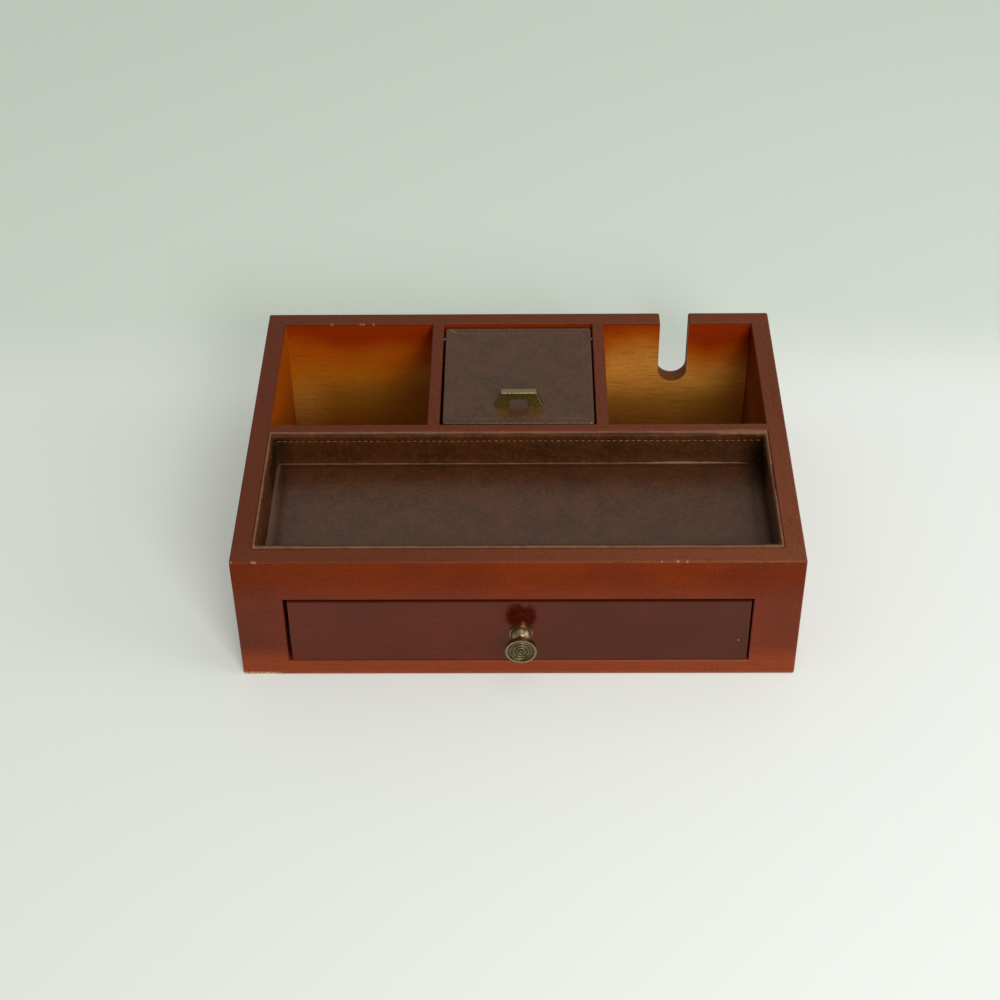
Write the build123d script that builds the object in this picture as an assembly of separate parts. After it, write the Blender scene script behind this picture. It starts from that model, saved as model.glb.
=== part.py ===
"""Desk valet box: a stained wooden case with a leather-lined tray over a shallow drawer,
and three deep compartments behind it, the middle one under a leather-covered lid.

Millimetres, +Z up. The origin is the centre of the case's underside. +X points to the
right, +Y to the back, and the drawer slides out along -Y.
"""

import os

from build123d import *

# Case boards
case_width = 305.0
case_depth = 224.5
case_height = 84.5
side_thick = 10.8
front_thick = 11.0
back_thick = 11.0
base_thick = 4.0
base_rebate = 4.0
outer_round = 1.2
mouth_ease = 0.5

# Space for the tray and the drawer, and the boards behind it
bay_depth = 99.0
cross_thick = 6.0
divider_thick = 7.0
lid_bay_width = 89.8

# Cable notch in the back board
notch_inset = 46.5
notch_width = 17.5
notch_depth = 44.2
notch_corner = 1.2

# Rails and stiles round the drawer opening in the front board
stile_width = 26.0
bottom_rail = 10.5
top_rail = 27.5

# Drawer
drawer_left_gap = 2.1
drawer_right_gap = 0.9
drawer_setback = 0.3
drawer_front_thick = 9.0
drawer_top_gap = 2.0
drawer_run_gap = 0.4
drawer_front_round = 0.8
drawer_side_inset = 0.3
drawer_side_thick = 6.0
drawer_side_drop = 8.1
drawer_back_thick = 6.0
drawer_back_drop = 3.0
drawer_panel_thick = 3.0
drawer_panel_lift = 3.0
drawer_groove = 2.5
drawer_lining_thick = 1.0
drawer_lining_gap = 0.4

# What carries the drawer
guide_step = 0.5
guide_height = 20.0
runner_width = 14.0
stop_width = 16.0
stop_height = 12.0
stop_inset = 40.0
stop_gap = 0.3
drawer_stop_thick = 3.7

# Drawer knob and its screw
knob_shift_x = 1.0
knob_drop = 0.85
knob_flange_radius = 6.3
knob_flange_thick = 0.9
knob_ball_radius = 5.7
knob_neck_radius = 2.9
knob_neck_reach = 9.4
knob_head_radius = 8.5
knob_head_back = 12.0
knob_head_front = 14.8
knob_rim_width = 1.1
knob_dish = 0.7
knob_ring_pitch = 1.85
knob_ring_radius = 0.45
knob_ring_count = 3
knob_screw_radius = 2.0
knob_screw_reach = 7.0
knob_screw_head_radius = 4.0
knob_screw_head_thick = 2.2
screw_hole_gap = 0.25
thread_gap = 0.02

# Leather tray
tray_well_depth = 21.5
shelf_thick = 3.0
cleat_width = 10.0
cleat_height = 8.0
tray_fit_gap = 0.2
tray_floor_thick = 2.0
tray_end_core = 1.6
tray_long_core = 2.8
leather_thick = 0.8
tray_rim_round = 0.6
tray_corner_round = 1.2
tray_pad_gap = 0.4
tray_pad_edge = 1.8
tray_pad_crown = 1.2
tray_pad_corner = 2.5

# Lid
lid_left_gap = 1.9
lid_right_gap = 0.9
lid_front_gap = 1.0
lid_back_gap = 4.3
lid_thick = 9.0
lid_round = 1.4
lid_lining_thick = 0.6
lid_lining_inset = 2.0
lid_pin_setback = 5.9
lid_pin_radius = 1.2
lid_pin_in_board = 6.0
lid_pin_in_divider = 4.5
pin_run_gap = 0.05
pin_seat_gap = 0.02
pin_end_gap = 0.3
rest_strip_depth = 5.0
rest_strip_height = 6.0
lid_rest_gap = 0.3

# Lid handle and its screws
handle_foot_width = 28.4
handle_top_width = 20.0
handle_height = 10.0
handle_depth = 4.2
handle_front_inset = 14.9
handle_bar_height = 4.8
handle_gap_foot_width = 12.0
handle_gap_top_width = 9.6
handle_round = 0.45
handle_screw_radius = 1.2
handle_screw_spacing = 20.0
handle_screw_reach = 4.0
handle_screw_head_radius = 2.3
handle_screw_head_thick = 1.4

# Places worked out from the sizes above
front_y = -case_depth / 2
back_y = case_depth / 2
inner_half = case_width / 2 - side_thick
bay_front_y = front_y + front_thick
bay_back_y = bay_front_y + bay_depth
store_front_y = bay_back_y + cross_thick
store_back_y = back_y - back_thick
lid_bay_half = lid_bay_width / 2
divider_outer = lid_bay_half + divider_thick
notch_centre_x = inner_half - notch_inset
opening_half = case_width / 2 - stile_width
opening_top_z = case_height - top_rail
drawer_bottom_z = bottom_rail + drawer_run_gap
drawer_shift_x = (drawer_left_gap - drawer_right_gap) / 2
drawer_half = opening_half - (drawer_left_gap + drawer_right_gap) / 2
drawer_front_y = front_y + drawer_setback
drawer_box_front_y = drawer_front_y + drawer_front_thick
drawer_box_half = drawer_half - drawer_side_inset
drawer_box_back_y = bay_back_y - drawer_stop_thick - stop_gap
drawer_panel_z = drawer_bottom_z + drawer_panel_lift
knob_x = drawer_shift_x + knob_shift_x
knob_z = (drawer_bottom_z + opening_top_z - drawer_top_gap) / 2 - knob_drop
drawer_side_top_z = opening_top_z - drawer_side_drop
tray_floor_z = case_height - tray_well_depth
tray_board_z = tray_floor_z - tray_floor_thick
shelf_bottom_z = tray_board_z - shelf_thick
tray_half = inner_half - tray_fit_gap
tray_front_y = bay_front_y + tray_fit_gap
tray_back_y = bay_back_y - tray_fit_gap
tray_inner_half = tray_half - tray_end_core - leather_thick
tray_inner_front_y = tray_front_y + tray_long_core + leather_thick
tray_inner_back_y = tray_back_y - tray_long_core - leather_thick
lid_left_x = lid_left_gap - lid_bay_half
lid_right_x = lid_bay_half - lid_right_gap
lid_middle_x = (lid_left_x + lid_right_x) / 2
lid_front_y = store_front_y + lid_front_gap
lid_back_y = store_back_y - lid_back_gap
lid_bottom_z = case_height - lid_thick
lid_pin_y = lid_back_y - lid_pin_setback
lid_pin_z = case_height - lid_thick / 2
handle_front_y = lid_front_y + handle_front_inset
handle_middle_y = handle_front_y + handle_depth / 2


def block(x_range, y_range, z_range):
    """Board that fills a range along each axis."""
    ranges = [sorted(limits) for limits in (x_range, y_range, z_range)]
    sizes = [high - low for low, high in ranges]
    middles = [(low + high) / 2 for low, high in ranges]
    return Pos(*middles) * Box(*sizes)


def edges_along(solid, axis, x=None, y=None, z=None):
    """Straight edges of a solid that run along an axis through the given places."""
    reach = 0.001
    found = solid.edges().filter_by(axis)
    for direction, place in ((Axis.X, x), (Axis.Y, y), (Axis.Z, z)):
        if place is not None:
            found = found.filter_by_position(direction, place - reach, place + reach)
    return found


def rod_x(radius, start_x, end_x, y, z):
    """Round rod along X."""
    length = end_x - start_x
    return Pos((start_x + end_x) / 2, y, z) * Rot(0, 90, 0) * Cylinder(radius, length)


def rod_y(radius, start_y, end_y, x, z):
    """Round rod along Y."""
    length = end_y - start_y
    return Pos(x, (start_y + end_y) / 2, z) * Rot(90, 0, 0) * Cylinder(radius, length)


def rod_z(radius, start_z, end_z, x, y):
    """Round rod along Z."""
    length = end_z - start_z
    return Pos(x, y, (start_z + end_z) / 2) * Cylinder(radius, length)


def base_block():
    """The base panel's own block, which is also its seat in the case boards."""
    half = inner_half + base_rebate
    depth_range = (bay_front_y - base_rebate, store_back_y + base_rebate)
    return block((-half, half), depth_range, (0, base_thick))


def mouth_cutter(x_range, y_range):
    """Wedge that breaks the top edges round an opening in the case by mouth_ease."""
    width = x_range[1] - x_range[0]
    depth = y_range[1] - y_range[0]
    middle = Pos(sum(x_range) / 2, sum(y_range) / 2, case_height - mouth_ease)
    return extrude(middle * Rectangle(width, depth), amount=mouth_ease, taper=-45)


def with_eased_mouths(board):
    """Board with its top edges broken where the case's openings pass it."""
    store = (store_front_y, store_back_y)
    board -= mouth_cutter((-inner_half, inner_half), (bay_front_y, bay_back_y))
    board -= mouth_cutter((-inner_half, -divider_outer), store)
    board -= mouth_cutter((-lid_bay_half, lid_bay_half), store)
    board -= mouth_cutter((divider_outer, inner_half), store)
    return board


def case_side(side):
    """Side board of the full depth; side is -1 on the left and 1 on the right."""
    outer_x = side * case_width / 2
    board = block((side * inner_half, outer_x), (front_y, back_y), (0, case_height))
    board -= base_block()
    rounded = edges_along(board, Axis.Y, x=outer_x)
    for end_y in (front_y, back_y):
        rounded += edges_along(board, Axis.Z, x=outer_x, y=end_y)
        rounded += edges_along(board, Axis.X, y=end_y, z=0)
        rounded += edges_along(board, Axis.X, y=end_y, z=case_height)
    return with_eased_mouths(fillet(rounded, outer_round))


def cross_board(outer_y, inner_y):
    """Front or back board between the sides, rebated for the base, outer edges rounded."""
    board = block((-inner_half, inner_half), (outer_y, inner_y), (0, case_height))
    board -= base_block()
    rounded = edges_along(board, Axis.X, y=outer_y)
    return with_eased_mouths(fillet(rounded, outer_round))


def case_front():
    """Front board with the drawer opening, its front edges broken."""
    board = cross_board(front_y, bay_front_y)
    middle_z = (bottom_rail + opening_top_z) / 2
    mouth = Plane(origin=(0, front_y + mouth_ease, middle_z), x_dir=(1, 0, 0), z_dir=(0, -1, 0))
    outline = Rectangle(2 * opening_half, opening_top_z - bottom_rail)
    board -= extrude(mouth * outline, amount=mouth_ease, taper=-45)
    through = (front_y - mouth_ease, bay_front_y + mouth_ease)
    board -= block((-opening_half, opening_half), through, (bottom_rail, opening_top_z))
    return board


def case_back():
    """Back board with the round-bottomed notch that a charging cable passes through."""
    board = cross_board(back_y, store_back_y)
    radius = notch_width / 2
    arc_z = case_height - notch_depth + radius
    through = (store_back_y - mouth_ease, back_y + mouth_ease)
    slot = (notch_centre_x - radius, notch_centre_x + radius)
    board -= block(slot, through, (arc_z, case_height + mouth_ease))
    board -= rod_y(radius, through[0], through[1], notch_centre_x, arc_z)
    corners = edges_along(board, Axis.Y, x=slot[0], z=case_height)
    corners += edges_along(board, Axis.Y, x=slot[1], z=case_height)
    return fillet(corners, notch_corner)


def base_panel():
    """Thin panel let into the undersides of the four outer boards."""
    return base_block()


def cross_divider():
    """Board between the tray and drawer in front and the compartments behind."""
    board = block((-inner_half, inner_half), (bay_back_y, store_front_y), (base_thick, case_height))
    return with_eased_mouths(board)


def store_divider(side):
    """Board beside the lidded compartment, bored for the lid's pin."""
    inner_x = side * lid_bay_half
    depth_range = (store_front_y, store_back_y)
    board = block((inner_x, side * divider_outer), depth_range, (base_thick, case_height))
    seat_end = inner_x + side * (lid_pin_in_divider + pin_end_gap)
    seat = rod_x(lid_pin_radius + pin_seat_gap, min(inner_x, seat_end), max(inner_x, seat_end),
                 lid_pin_y, lid_pin_z)
    return with_eased_mouths(board - seat)


def drawer_guide(side):
    """Strip that keeps the drawer from wandering sideways."""
    inner_x = side * (opening_half - guide_step)
    heights = (base_thick, base_thick + guide_height)
    return block((inner_x, side * inner_half), (bay_front_y, bay_back_y), heights)


def drawer_runner(side):
    """Strip under the drawer's side, level with the bottom of the opening."""
    outer_x = side * (opening_half - guide_step)
    inner_x = outer_x - side * runner_width
    return block((inner_x, outer_x), (bay_front_y, bay_back_y), (base_thick, bottom_rail))


def drawer_stop(side):
    """Block on the cross divider that the drawer's back closes against."""
    middle_x = drawer_shift_x + side * (drawer_box_half - stop_inset)
    span = (middle_x - stop_width / 2, middle_x + stop_width / 2)
    heights = (drawer_bottom_z, drawer_bottom_z + stop_height)
    return block(span, (bay_back_y - drawer_stop_thick, bay_back_y), heights)


def shelf_cleat(side):
    """Strip on the side board that carries the shelf under the tray."""
    outer_x = side * inner_half
    heights = (shelf_bottom_z - cleat_height, shelf_bottom_z)
    return block((outer_x - side * cleat_width, outer_x), (bay_front_y, bay_back_y), heights)


def tray_shelf():
    """Thin shelf between the drawer and the tray."""
    heights = (shelf_bottom_z, shelf_bottom_z + shelf_thick)
    return block((-inner_half, inner_half), (bay_front_y, bay_back_y), heights)


def tray_floor_board():
    """Stiff floor of the tray insert, under its padding."""
    return block((-tray_half, tray_half), (tray_front_y, tray_back_y), (tray_board_z, tray_floor_z))


def tray_end_wall(side):
    """Short wall of the tray insert, inside its leather."""
    outer_x = side * tray_half
    heights = (tray_floor_z, case_height - leather_thick)
    return block((outer_x - side * tray_end_core, outer_x), (tray_front_y, tray_back_y), heights)


def tray_long_wall(outer_y, inward):
    """Long wall of the tray insert between its short ones; inward is 1 or -1 along Y."""
    half = tray_half - tray_end_core
    heights = (tray_floor_z, case_height - leather_thick)
    return block((-half, half), (outer_y, outer_y + inward * tray_long_core), heights)


def tray_lining():
    """Leather over the rim and down the inside of the tray's walls."""
    heights = (tray_floor_z, case_height)
    skin = block((-tray_half, tray_half), (tray_front_y, tray_back_y), heights)
    inner_x = (-tray_inner_half, tray_inner_half)
    inner_y = (tray_inner_front_y, tray_inner_back_y)
    well = block(inner_x, inner_y, heights)
    skin -= fillet(well.edges().filter_by(Axis.Z), tray_corner_round)
    skin = fillet(skin.edges().group_by(Axis.Z)[-1], tray_rim_round)
    for side in (-1, 1):
        skin -= tray_end_wall(side)
    skin -= tray_long_wall(tray_front_y, 1)
    skin -= tray_long_wall(tray_back_y, -1)
    return skin


def roof_prism(half, edge_height, crown, plane, length):
    """Prism with a domed top over its middle part, wider than the pad it shapes."""
    reach = half + crown
    foot = Polyline((half, edge_height), (reach, edge_height), (reach, -crown),
                    (-reach, -crown), (-reach, edge_height), (-half, edge_height))
    dome = ThreePointArc((-half, edge_height), (0, edge_height + crown), (half, edge_height))
    return extrude(plane * make_face([foot, dome]), amount=length, both=True)


def tray_pad():
    """Padded floor of the tray, crowned both ways and round at its corners."""
    half_x = tray_inner_half - tray_pad_gap
    half_y = (tray_inner_back_y - tray_inner_front_y) / 2 - tray_pad_gap
    middle_y = (tray_inner_back_y + tray_inner_front_y) / 2
    slab = block((-half_x, half_x), (-half_y, half_y), (0, tray_pad_edge + 2 * tray_pad_crown))
    slab = fillet(slab.edges().filter_by(Axis.Z), tray_pad_corner)
    slab &= roof_prism(half_x, tray_pad_edge + tray_pad_crown / 2, tray_pad_crown / 2,
                       Plane.XZ, case_depth)
    slab &= roof_prism(half_y, tray_pad_edge, tray_pad_crown, Plane.YZ, case_width)
    return Pos(0, middle_y, tray_floor_z) * slab


def lid_core():
    """Lid board before it is bored."""
    core_round = lid_round - leather_thick
    x_range = (lid_left_x + leather_thick, lid_right_x - leather_thick)
    y_range = (lid_front_y + leather_thick, lid_back_y - leather_thick)
    heights = (lid_bottom_z + lid_lining_thick, case_height - leather_thick)
    core = block(x_range, y_range, heights)
    return fillet(core.edges().filter_by(Axis.Z) + core.edges().group_by(Axis.Z)[-1], core_round)


def lid_pin_holes():
    """Bores in the lid's side edges that turn on the pins."""
    radius = lid_pin_radius + pin_run_gap
    depth = lid_pin_in_board + pin_end_gap
    left = rod_x(radius, lid_left_x, lid_left_x + depth, lid_pin_y, lid_pin_z)
    right = rod_x(radius, lid_right_x - depth, lid_right_x, lid_pin_y, lid_pin_z)
    return left + right


def handle_screw_places():
    """X of the two handle screws."""
    return [lid_middle_x + side * handle_screw_spacing / 2 for side in (-1, 1)]


def screw_shank_holes(gap):
    """Holes for the handle screws' shanks, from the lid's underside into the handle."""
    top_z = case_height + handle_screw_reach + pin_end_gap
    rods = [rod_z(handle_screw_radius + gap, lid_bottom_z, top_z, x, handle_middle_y)
            for x in handle_screw_places()]
    return rods[0] + rods[1]


def lid_board():
    """Wooden core of the lid, bored for the pins and for the handle's sunk screws."""
    board = lid_core() - lid_pin_holes() - screw_shank_holes(screw_hole_gap)
    sink_top = lid_bottom_z + lid_lining_thick + handle_screw_head_thick + screw_hole_gap
    for x in handle_screw_places():
        board -= rod_z(handle_screw_head_radius + screw_hole_gap, lid_bottom_z, sink_top,
                       x, handle_middle_y)
    return board


def lid_leather():
    """Leather over the lid's top and down its edges."""
    heights = (lid_bottom_z + lid_lining_thick, case_height)
    cover = block((lid_left_x, lid_right_x), (lid_front_y, lid_back_y), heights)
    rounded = cover.edges().filter_by(Axis.Z) + cover.edges().group_by(Axis.Z)[-1]
    cover = fillet(rounded, lid_round)
    return cover - lid_core() - lid_pin_holes() - screw_shank_holes(screw_hole_gap)


def lid_lining():
    """Thin lining glued to the lid's underside."""
    x_range = (lid_left_x + lid_lining_inset, lid_right_x - lid_lining_inset)
    y_range = (lid_front_y + lid_lining_inset, lid_back_y - lid_lining_inset)
    return block(x_range, y_range, (lid_bottom_z, lid_bottom_z + lid_lining_thick))


def lid_pin(side):
    """Pin that is fast in a divider and that the lid turns on."""
    lid_edge = lid_right_x if side > 0 else lid_left_x
    inner_end = lid_edge - side * lid_pin_in_board
    outer_end = side * (lid_bay_half + lid_pin_in_divider)
    return rod_x(lid_pin_radius, min(inner_end, outer_end), max(inner_end, outer_end),
                 lid_pin_y, lid_pin_z)


def lid_rest_strip():
    """Strip on the cross divider that the closed lid's front edge comes down on."""
    top_z = lid_bottom_z - lid_rest_gap
    depth_range = (store_front_y, store_front_y + rest_strip_depth)
    return block((-lid_bay_half, lid_bay_half), depth_range, (top_z - rest_strip_height, top_z))


def trapezoid(foot_width, top_width, height):
    """Upright trapezoid in the plane of the handle's front, standing on the lid."""
    foot = foot_width / 2
    top = top_width / 2
    outline = Polyline((-foot, 0), (foot, 0), (top, height), (-top, height), close=True)
    plane = Plane(origin=(lid_middle_x, handle_front_y, case_height),
                  x_dir=(1, 0, 0), z_dir=(0, -1, 0))
    return plane * make_face(outline)


def lid_handle():
    """Cast bridge handle with splayed legs and a gap for a fingertip."""
    body = extrude(trapezoid(handle_foot_width, handle_top_width, handle_height),
                   amount=-handle_depth)
    gap_height = handle_height - handle_bar_height
    body -= extrude(trapezoid(handle_gap_foot_width, handle_gap_top_width, gap_height),
                    amount=-handle_depth)
    foot_edges = body.edges().group_by(Axis.Z)[0]
    body = fillet([edge for edge in body.edges() if edge not in foot_edges], handle_round)
    return body - screw_shank_holes(thread_gap)


def handle_screws():
    """Two screws up through the lid into the handle's legs, heads sunk in the board."""
    head_z = lid_bottom_z + lid_lining_thick
    screws = []
    for x in handle_screw_places():
        shank_top = case_height + handle_screw_reach
        screw = rod_z(handle_screw_radius, head_z, shank_top, x, handle_middle_y)
        screw += rod_z(handle_screw_head_radius, head_z, head_z + handle_screw_head_thick,
                       x, handle_middle_y)
        screws.append(screw)
    return Compound(children=screws)


def drawer_front():
    """Inset drawer front, bored for the knob's screw and grooved for the bottom."""
    span = (drawer_shift_x - drawer_half, drawer_shift_x + drawer_half)
    heights = (drawer_bottom_z, opening_top_z - drawer_top_gap)
    board = block(span, (drawer_front_y, drawer_box_front_y), heights)
    face = board.faces().sort_by(Axis.Y)[0]
    board = fillet(face.edges(), drawer_front_round)
    board -= drawer_bottom()
    return board - rod_y(knob_screw_radius + screw_hole_gap, drawer_front_y, drawer_box_front_y,
                         knob_x, knob_z)


def drawer_side(side):
    """Drawer side, grooved for the bottom."""
    outer_x = drawer_shift_x + side * drawer_box_half
    heights = (drawer_bottom_z, drawer_side_top_z)
    board = block((outer_x - side * drawer_side_thick, outer_x),
                  (drawer_box_front_y, drawer_box_back_y), heights)
    return board - drawer_bottom()


def drawer_back():
    """Drawer back between the sides, standing on the bottom."""
    half = drawer_box_half - drawer_side_thick
    heights = (drawer_panel_z + drawer_panel_thick, drawer_side_top_z - drawer_back_drop)
    return block((drawer_shift_x - half, drawer_shift_x + half),
                 (drawer_box_back_y - drawer_back_thick, drawer_box_back_y), heights)


def drawer_bottom():
    """Drawer bottom, let into the sides and the front and running under the back."""
    half = drawer_box_half - drawer_side_thick + drawer_groove
    return block((drawer_shift_x - half, drawer_shift_x + half),
                 (drawer_box_front_y - drawer_groove, drawer_box_back_y),
                 (drawer_panel_z, drawer_panel_z + drawer_panel_thick))


def drawer_lining():
    """Soft lining on the drawer's bottom."""
    half = drawer_box_half - drawer_side_thick - drawer_lining_gap
    bottom_z = drawer_panel_z + drawer_panel_thick
    depth_range = (drawer_box_front_y + drawer_lining_gap,
                   drawer_box_back_y - drawer_back_thick - drawer_lining_gap)
    return block((drawer_shift_x - half, drawer_shift_x + half), depth_range,
                 (bottom_z, bottom_z + drawer_lining_thick))


def knob_outline():
    """Half section of the knob: radius against distance out from the drawer front."""
    head_face = knob_head_front - knob_dish
    rim_inner = knob_head_radius - knob_rim_width
    ball_start = (knob_ball_radius, knob_flange_thick)
    lines = [
        Polyline((0, 0), (knob_flange_radius, 0), (knob_flange_radius, knob_flange_thick), ball_start),
        ThreePointArc(ball_start, (knob_ball_radius * 0.93, knob_ball_radius * 0.62),
                      (knob_neck_radius, knob_ball_radius + knob_flange_thick)),
        Line((knob_neck_radius, knob_ball_radius + knob_flange_thick),
             (knob_neck_radius, knob_neck_reach)),
        TangentArc((knob_neck_radius, knob_neck_reach), (knob_head_radius, knob_head_back),
                   tangent=(0, 1)),
        Polyline((knob_head_radius, knob_head_back), (knob_head_radius, knob_head_front),
                 (rim_inner, knob_head_front), (rim_inner, head_face), (0, head_face), (0, 0)),
    ]
    return make_face(lines)


def drawer_knob():
    """Turned knob: flange and ball, slim neck, and a dished head with raised rings."""
    knob = revolve(Plane.XZ * Pos(0, 0) * knob_outline(), axis=Axis.Z)
    head_face = knob_head_front - knob_dish
    for step in range(1, knob_ring_count + 1):
        ring = Torus(step * knob_ring_pitch + knob_ring_radius, knob_ring_radius)
        knob += Pos(0, 0, head_face) * ring
    knob += Pos(0, 0, head_face) * Cylinder(knob_ring_radius * 2, 2 * knob_ring_radius)
    knob -= rod_z(knob_screw_radius + thread_gap, 0, knob_screw_reach + pin_end_gap, 0, 0)
    return Pos(knob_x, drawer_front_y, knob_z) * Rot(90, 0, 0) * knob


def knob_screw():
    """Screw through the drawer front into the knob, its head inside the drawer."""
    head_end = drawer_box_front_y + knob_screw_head_thick
    screw = rod_y(knob_screw_radius, drawer_front_y - knob_screw_reach, head_end, knob_x, knob_z)
    return screw + rod_y(knob_screw_head_radius, drawer_box_front_y, head_end, knob_x, knob_z)


def all_parts():
    """Every sub-part by name."""
    parts = {
        "case_front": case_front(),
        "case_back": case_back(),
        "base_panel": base_panel(),
        "cross_divider": cross_divider(),
        "drawer_stops": Compound(children=[drawer_stop(-1), drawer_stop(1)]),
        "tray_shelf": tray_shelf(),
        "tray_floor_board": tray_floor_board(),
        "tray_front_wall": tray_long_wall(tray_front_y, 1),
        "tray_back_wall": tray_long_wall(tray_back_y, -1),
        "tray_lining": tray_lining(),
        "tray_pad": tray_pad(),
        "lid_board": lid_board(),
        "lid_leather": lid_leather(),
        "lid_lining": lid_lining(),
        "lid_rest_strip": lid_rest_strip(),
        "lid_handle": lid_handle(),
        "handle_screws": handle_screws(),
        "drawer_front": drawer_front(),
        "drawer_back": drawer_back(),
        "drawer_bottom": drawer_bottom(),
        "drawer_lining": drawer_lining(),
        "drawer_knob": drawer_knob(),
        "knob_screw": knob_screw(),
    }
    for name, side in (("left", -1), ("right", 1)):
        parts[f"case_{name}_side"] = case_side(side)
        parts[f"{name}_divider"] = store_divider(side)
        parts[f"drawer_guide_{name}"] = drawer_guide(side)
        parts[f"drawer_runner_{name}"] = drawer_runner(side)
        parts[f"shelf_cleat_{name}"] = shelf_cleat(side)
        parts[f"tray_{name}_wall"] = tray_end_wall(side)
        parts[f"lid_pin_{name}"] = lid_pin(side)
        parts[f"drawer_{name}_side"] = drawer_side(side)
    return parts


os.makedirs("parts", exist_ok=True)
for part_name, part in all_parts().items():
    export_step(part, f"parts/{part_name}.step")
print("lid pin at", lid_pin_y, lid_pin_z)
print("drawer lies", drawer_box_back_y - drawer_front_y, "deep behind its face")
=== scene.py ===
# %% [markdown]
# # A desk valet box in stained wood and leather
#
# A stained wooden case holds a leather-lined tray in front, three deep compartments behind it, a
# leather-covered lid over the middle one, and a drawer under the tray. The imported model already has
# every board, pin and screw at its real size, so this script only dresses it: finishes for what is
# there, and fuller meshes for what is soft.

# %% Load the frame
import math

import bmesh
import bpy
from mathutils import Matrix, Vector, noise


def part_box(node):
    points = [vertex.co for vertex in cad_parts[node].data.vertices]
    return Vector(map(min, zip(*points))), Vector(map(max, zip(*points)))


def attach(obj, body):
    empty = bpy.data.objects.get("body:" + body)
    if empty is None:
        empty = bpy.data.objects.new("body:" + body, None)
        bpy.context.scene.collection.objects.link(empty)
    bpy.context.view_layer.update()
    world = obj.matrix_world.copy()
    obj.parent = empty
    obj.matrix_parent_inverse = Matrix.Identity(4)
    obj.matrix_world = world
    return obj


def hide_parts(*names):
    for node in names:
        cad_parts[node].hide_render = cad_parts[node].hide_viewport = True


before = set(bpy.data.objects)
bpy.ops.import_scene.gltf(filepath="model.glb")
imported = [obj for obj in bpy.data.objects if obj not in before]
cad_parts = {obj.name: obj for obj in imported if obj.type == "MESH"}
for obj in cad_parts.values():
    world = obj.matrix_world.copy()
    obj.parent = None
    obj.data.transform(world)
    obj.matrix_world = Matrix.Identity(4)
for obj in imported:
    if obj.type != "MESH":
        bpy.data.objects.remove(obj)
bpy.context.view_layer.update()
MM = 0.001


def add_object(name, data):
    """New object in the scene around its data."""
    made = bpy.data.objects.new(name, data)
    bpy.context.scene.collection.objects.link(made)
    return made


# %% [markdown]
# ## The case's own sizes
#
# Everything that is painted or laid over the case lines up with it, so its edges are read from the
# nodes and never typed in again.

# %% Read the case
case_low = Vector((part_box("case_left_side")[0].x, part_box("case_front")[0].y, 0.0))
case_high = Vector((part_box("case_right_side")[1].x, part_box("case_back")[1].y,
                    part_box("case_front")[1].z))
store_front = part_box("cross_divider")[1].y
store_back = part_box("case_back")[0].y
inner_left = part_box("case_left_side")[1].x
inner_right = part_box("case_right_side")[0].x
print("case", [round(v / MM, 1) for v in case_high - case_low], "mm")

# %% [markdown]
# ## Camera
#
# The camera's place, lens and three angles were worked out from the edges of the box in the
# photograph. A matrix built from the three directions of the camera is plainer to read than Euler
# angles, where the order of the turns has to be remembered.

# %% Camera
CAMERA_PLACE = Vector((4.6, -863.25, 780.1)) * MM
CAMERA_DOWN = math.radians(40.97)
CAMERA_LEFT = math.radians(1.02)
CAMERA_ROLL = math.radians(-0.83)
CAMERA_LENS = 70.03
SENSOR_WIDTH = 36


def add_camera():
    """Camera at the photograph's viewpoint."""
    forward = Vector((-math.sin(CAMERA_LEFT) * math.cos(CAMERA_DOWN),
                      math.cos(CAMERA_LEFT) * math.cos(CAMERA_DOWN), -math.sin(CAMERA_DOWN)))
    level = Vector((math.cos(CAMERA_LEFT), math.sin(CAMERA_LEFT), 0))
    upright = level.cross(forward)
    right = math.cos(CAMERA_ROLL) * level + math.sin(CAMERA_ROLL) * upright
    up = math.cos(CAMERA_ROLL) * upright - math.sin(CAMERA_ROLL) * level
    turn = Matrix((right, up, -forward)).transposed().to_4x4()
    data = bpy.data.cameras.new("camera")
    data.lens = CAMERA_LENS
    data.sensor_width = SENSOR_WIDTH
    camera = add_object("camera", data)
    camera.matrix_world = Matrix.Translation(CAMERA_PLACE) @ turn
    bpy.context.scene.camera = camera


add_camera()
bpy.context.scene.view_settings.view_transform = "Standard"
print("camera", CAMERA_LENS, "mm lens,", round(CAMERA_PLACE.length, 3), "m from the box")

# %% [markdown]
# ## Shader maths as Python
#
# A procedural finish is mostly arithmetic on masks and coordinates. Wiring Math nodes one by one
# hides that, so a small class wraps an output socket and lets Python's operators add the nodes.
# Every other node comes from one method, which sets the node's own settings first and then fills
# its sockets.

# %% Wires and finishes


class Wire:
    """An output socket whose arithmetic adds Math nodes to its finish."""

    def __init__(self, finish, socket):
        self.finish = finish
        self.socket = socket

    def maths(self, operation, *values):
        inputs = dict(enumerate((self, *values)))
        return self.finish.node("ShaderNodeMath", {"operation": operation}, inputs)

    def __add__(self, other):
        return self.maths("ADD", other)

    def __sub__(self, other):
        return self.maths("SUBTRACT", other)

    def __mul__(self, other):
        return self.maths("MULTIPLY", other)

    def __rsub__(self, other):
        return self.finish.node("ShaderNodeMath", {"operation": "SUBTRACT"}, {0: other, 1: self})

    __radd__ = __add__
    __rmul__ = __mul__

    def step(self, low, high):
        """Smoothly 0 below low and 1 above high, or the other way round if low is above high."""
        ends = {"From Min": low, "From Max": high}
        settings = {"interpolation_type": "SMOOTHSTEP"}
        return self.finish.node("ShaderNodeMapRange", settings, {"Value": self, **ends})


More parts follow.
